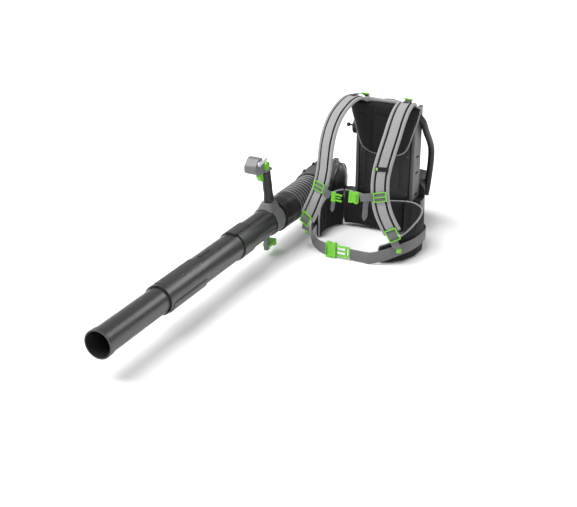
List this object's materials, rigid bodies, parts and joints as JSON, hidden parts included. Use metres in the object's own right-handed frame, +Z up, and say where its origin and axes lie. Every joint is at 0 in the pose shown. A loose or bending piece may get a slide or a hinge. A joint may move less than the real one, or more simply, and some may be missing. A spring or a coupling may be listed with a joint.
{
  "type": "backpack leaf blower",
  "caption": "Battery backpack leaf blower with a padded harness, a side elbow and hose, a long blower tube with a trigger handle, and a waist belt with buckles.",
  "frame": {"origin": "on the ground, below the middle of the back plate's front face", "axes": "+Z up; the wearer faces -Y, so -X is the wearer's right, where the blower tube is"},
  "size_m": [0.505, 1.4795, 0.474],
  "materials": {
    "frame_plastic": "matt black moulded plastic, fine texture",
    "rail_plastic": "grey satin moulded plastic",
    "housing_plastic": "charcoal moulded plastic, satin",
    "tube_plastic": "charcoal blow-moulded tube plastic, semi-gloss",
    "hose_rubber": "black ribbed rubber",
    "grip_rubber": "black soft-touch rubber",
    "green_plastic": "vivid green moulded plastic",
    "pad_mesh": "black spacer mesh over foam, grey piping",
    "strap_fabric": "light grey woven face with darker bound edges",
    "web_grey": "grey woven webbing",
    "web_dark": "black woven webbing",
    "steel": "bright steel",
    "head_plastic": "mid grey moulded plastic",
    "silver_plastic": "silver satin plastic",
    "battery_plastic": "dark grey moulded plastic with green badge plate"
  },
  "bodies": {
    "pack": {"back_plate": "frame_plastic", "base_feet": "hose_rubber", "battery_bay": "housing_plastic", "carry_handle": "frame_plastic", "chest_buckle_female": "green_plastic", "chest_buckle_male": "green_plastic", "chest_sliders": "green_plastic", "chest_webbing_left": "web_grey", "chest_webbing_right": "web_grey", "fan_housing_front": "housing_plastic", "fan_housing_rear": "housing_plastic", "frame_screws": "steel", "guard_bar_left": "frame_plastic", "guard_bar_right": "frame_plastic", "hip_loops": "green_plastic", "hip_wing_left": "pad_mesh", "hip_wing_right": "pad_mesh", "intake_grille": "frame_plastic", "label_patch": "web_dark", "load_lifter_buckles": "green_plastic", "load_lifter_webbing": "web_dark", "lower_webbings": "web_grey", "lumbar_pad": "pad_mesh", "motor_controller": "frame_plastic", "motor_stator": "steel", "outlet_collar": "frame_plastic", "shaft_bearings": "steel", "shoulder_strap_left": "strap_fabric", "shoulder_strap_right": "strap_fabric", "side_rail_left": "rail_plastic", "side_rail_right": "rail_plastic", "strap_adjusters": "green_plastic", "tube_hook": "frame_plastic", "upper_pad": "pad_mesh", "waist_buckle_female": "green_plastic", "waist_buckle_male": "green_plastic", "waist_webbing_left": "web_grey", "waist_webbing_right": "web_grey"},
    "fan": {"fan_impeller": "frame_plastic", "motor_shaft": "steel"},
    "battery": {"battery_pack": "battery_plastic"},
    "latch": {"battery_latch": "green_plastic"},
    "elbow": {"elbow_shell": "housing_plastic", "elbow_cover": "frame_plastic", "control_cable": "hose_rubber", "cable_clips": "frame_plastic", "pleated_hose": "hose_rubber"},
    "cuff": {"hose_front_cuff": "hose_rubber"},
    "tube": {"control_pipe": "tube_plastic", "pipe_coupling": "tube_plastic", "mid_tube": "tube_plastic"},
    "nozzle_tube": {"nozzle": "tube_plastic"},
    "handle": {"handle_clamp": "head_plastic", "clamp_pin": "steel", "grip_rubber": "grip_rubber", "control_head": "head_plastic"},
    "lever": {"clamp_lever": "green_plastic"},
    "trigger_body": {"trigger": "green_plastic"},
    "thumb": {"thumb_button": "green_plastic"},
    "cruise": {"cruise_lever": "silver_plastic"}
  },
  "joints": [
    {"name": "fan_spin", "type": "hinge", "parent": "pack", "child": "fan", "pos_m": [0, 0.11, 0.092], "axis": [0, -1, 0], "continuous": true},
    {"name": "battery_slide", "type": "slide", "parent": "pack", "child": "battery", "axis": [0, 0, 1], "range_m": [0, 0.16]},
    {"name": "latch_press", "type": "slide", "parent": "pack", "child": "latch", "axis": [0, -1, 0], "range_m": [0, 0.003], "stiffness_N_per_m": 400, "springref_m": -0.003},
    {"name": "elbow_swivel", "type": "hinge", "parent": "pack", "child": "elbow", "pos_m": [-0.15, 0.06, 0.054], "axis": [-1, 0, 0], "range_deg": [0, 50]},
    {"name": "hose_bend", "type": "hinge", "parent": "elbow", "child": "cuff", "pos_m": [-0.25, -0.135, 0.114], "axis": [0, 0, 1], "range_deg": [-25, 8], "stiffness_Nm_per_rad": 1.5, "deforming": ["pleated_hose"]},
    {"name": "tube_roll", "type": "hinge", "parent": "cuff", "child": "tube", "pos_m": [-0.25, -0.3, 0.114], "axis": [0, -1, 0], "range_deg": [-30, 30]},
    {"name": "nozzle_slide", "type": "slide", "parent": "tube", "child": "nozzle_tube", "axis": [0, 1, 0], "range_m": [0, 0.12]},
    {"name": "handle_slide", "type": "slide", "parent": "tube", "child": "handle", "axis": [0, -1, 0], "range_m": [0, 0.06]},
    {"name": "clamp_lever_turn", "type": "hinge", "parent": "handle", "child": "lever", "pos_m": [-0.25, -0.366, 0.032], "axis": [-1, 0, 0], "range_deg": [0, 40]},
    {"name": "trigger_pull", "type": "hinge", "parent": "handle", "child": "trigger_body", "pos_m": [-0.25, -0.408, 0.291], "axis": [1, 0, 0], "range_deg": [0, 10], "stiffness_Nm_per_rad": 0.4, "springref_deg": -8.59},
    {"name": "thumb_press", "type": "slide", "parent": "handle", "child": "thumb", "axis": [-1, 0, 0], "range_m": [0, 0.003], "stiffness_N_per_m": 300, "springref_m": -0.003},
    {"name": "cruise_turn", "type": "hinge", "parent": "handle", "child": "cruise", "pos_m": [-0.226, -0.454, 0.337], "axis": [-1, 0, 0], "range_deg": [0, 50]}
  ]
}
